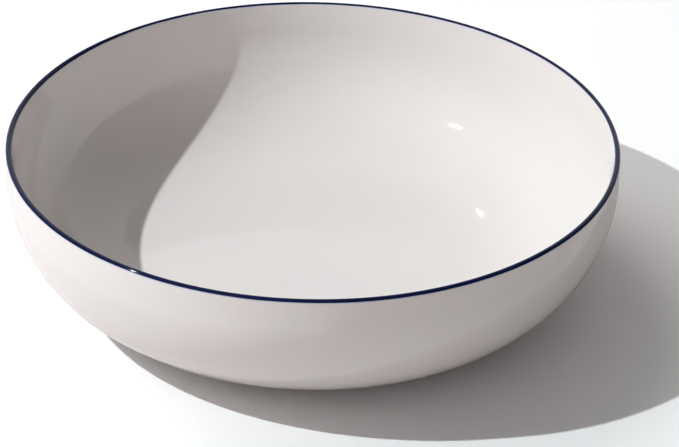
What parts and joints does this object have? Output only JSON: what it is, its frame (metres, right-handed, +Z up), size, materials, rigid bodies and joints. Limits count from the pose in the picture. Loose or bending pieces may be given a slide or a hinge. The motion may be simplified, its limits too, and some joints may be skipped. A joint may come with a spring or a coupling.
{
  "type": "serving bowl",
  "caption": "Broad low porcelain serving bowl with almost upright sides, a wide nearly flat floor, a low turned foot and a thin blue line round its rounded lip.",
  "frame": {"origin": "middle of the circle that the foot stands on, at table height", "axes": "+Z is up along the bowl's axis of revolution; X and Y are interchangeable"},
  "size_m": [0.254, 0.254, 0.067],
  "materials": {
    "white_glaze": "clear glossy glaze over white porcelain, very slightly warm",
    "blue_line": "dark cobalt blue line under the same glossy glaze",
    "bare_porcelain": "unglazed porcelain, ground smooth and matt"
  },
  "bodies": {
    "root": {"bowl_body": "white_glaze", "rim_band": "blue_line", "foot_ring": "bare_porcelain"}
  },
  "joints": []
}
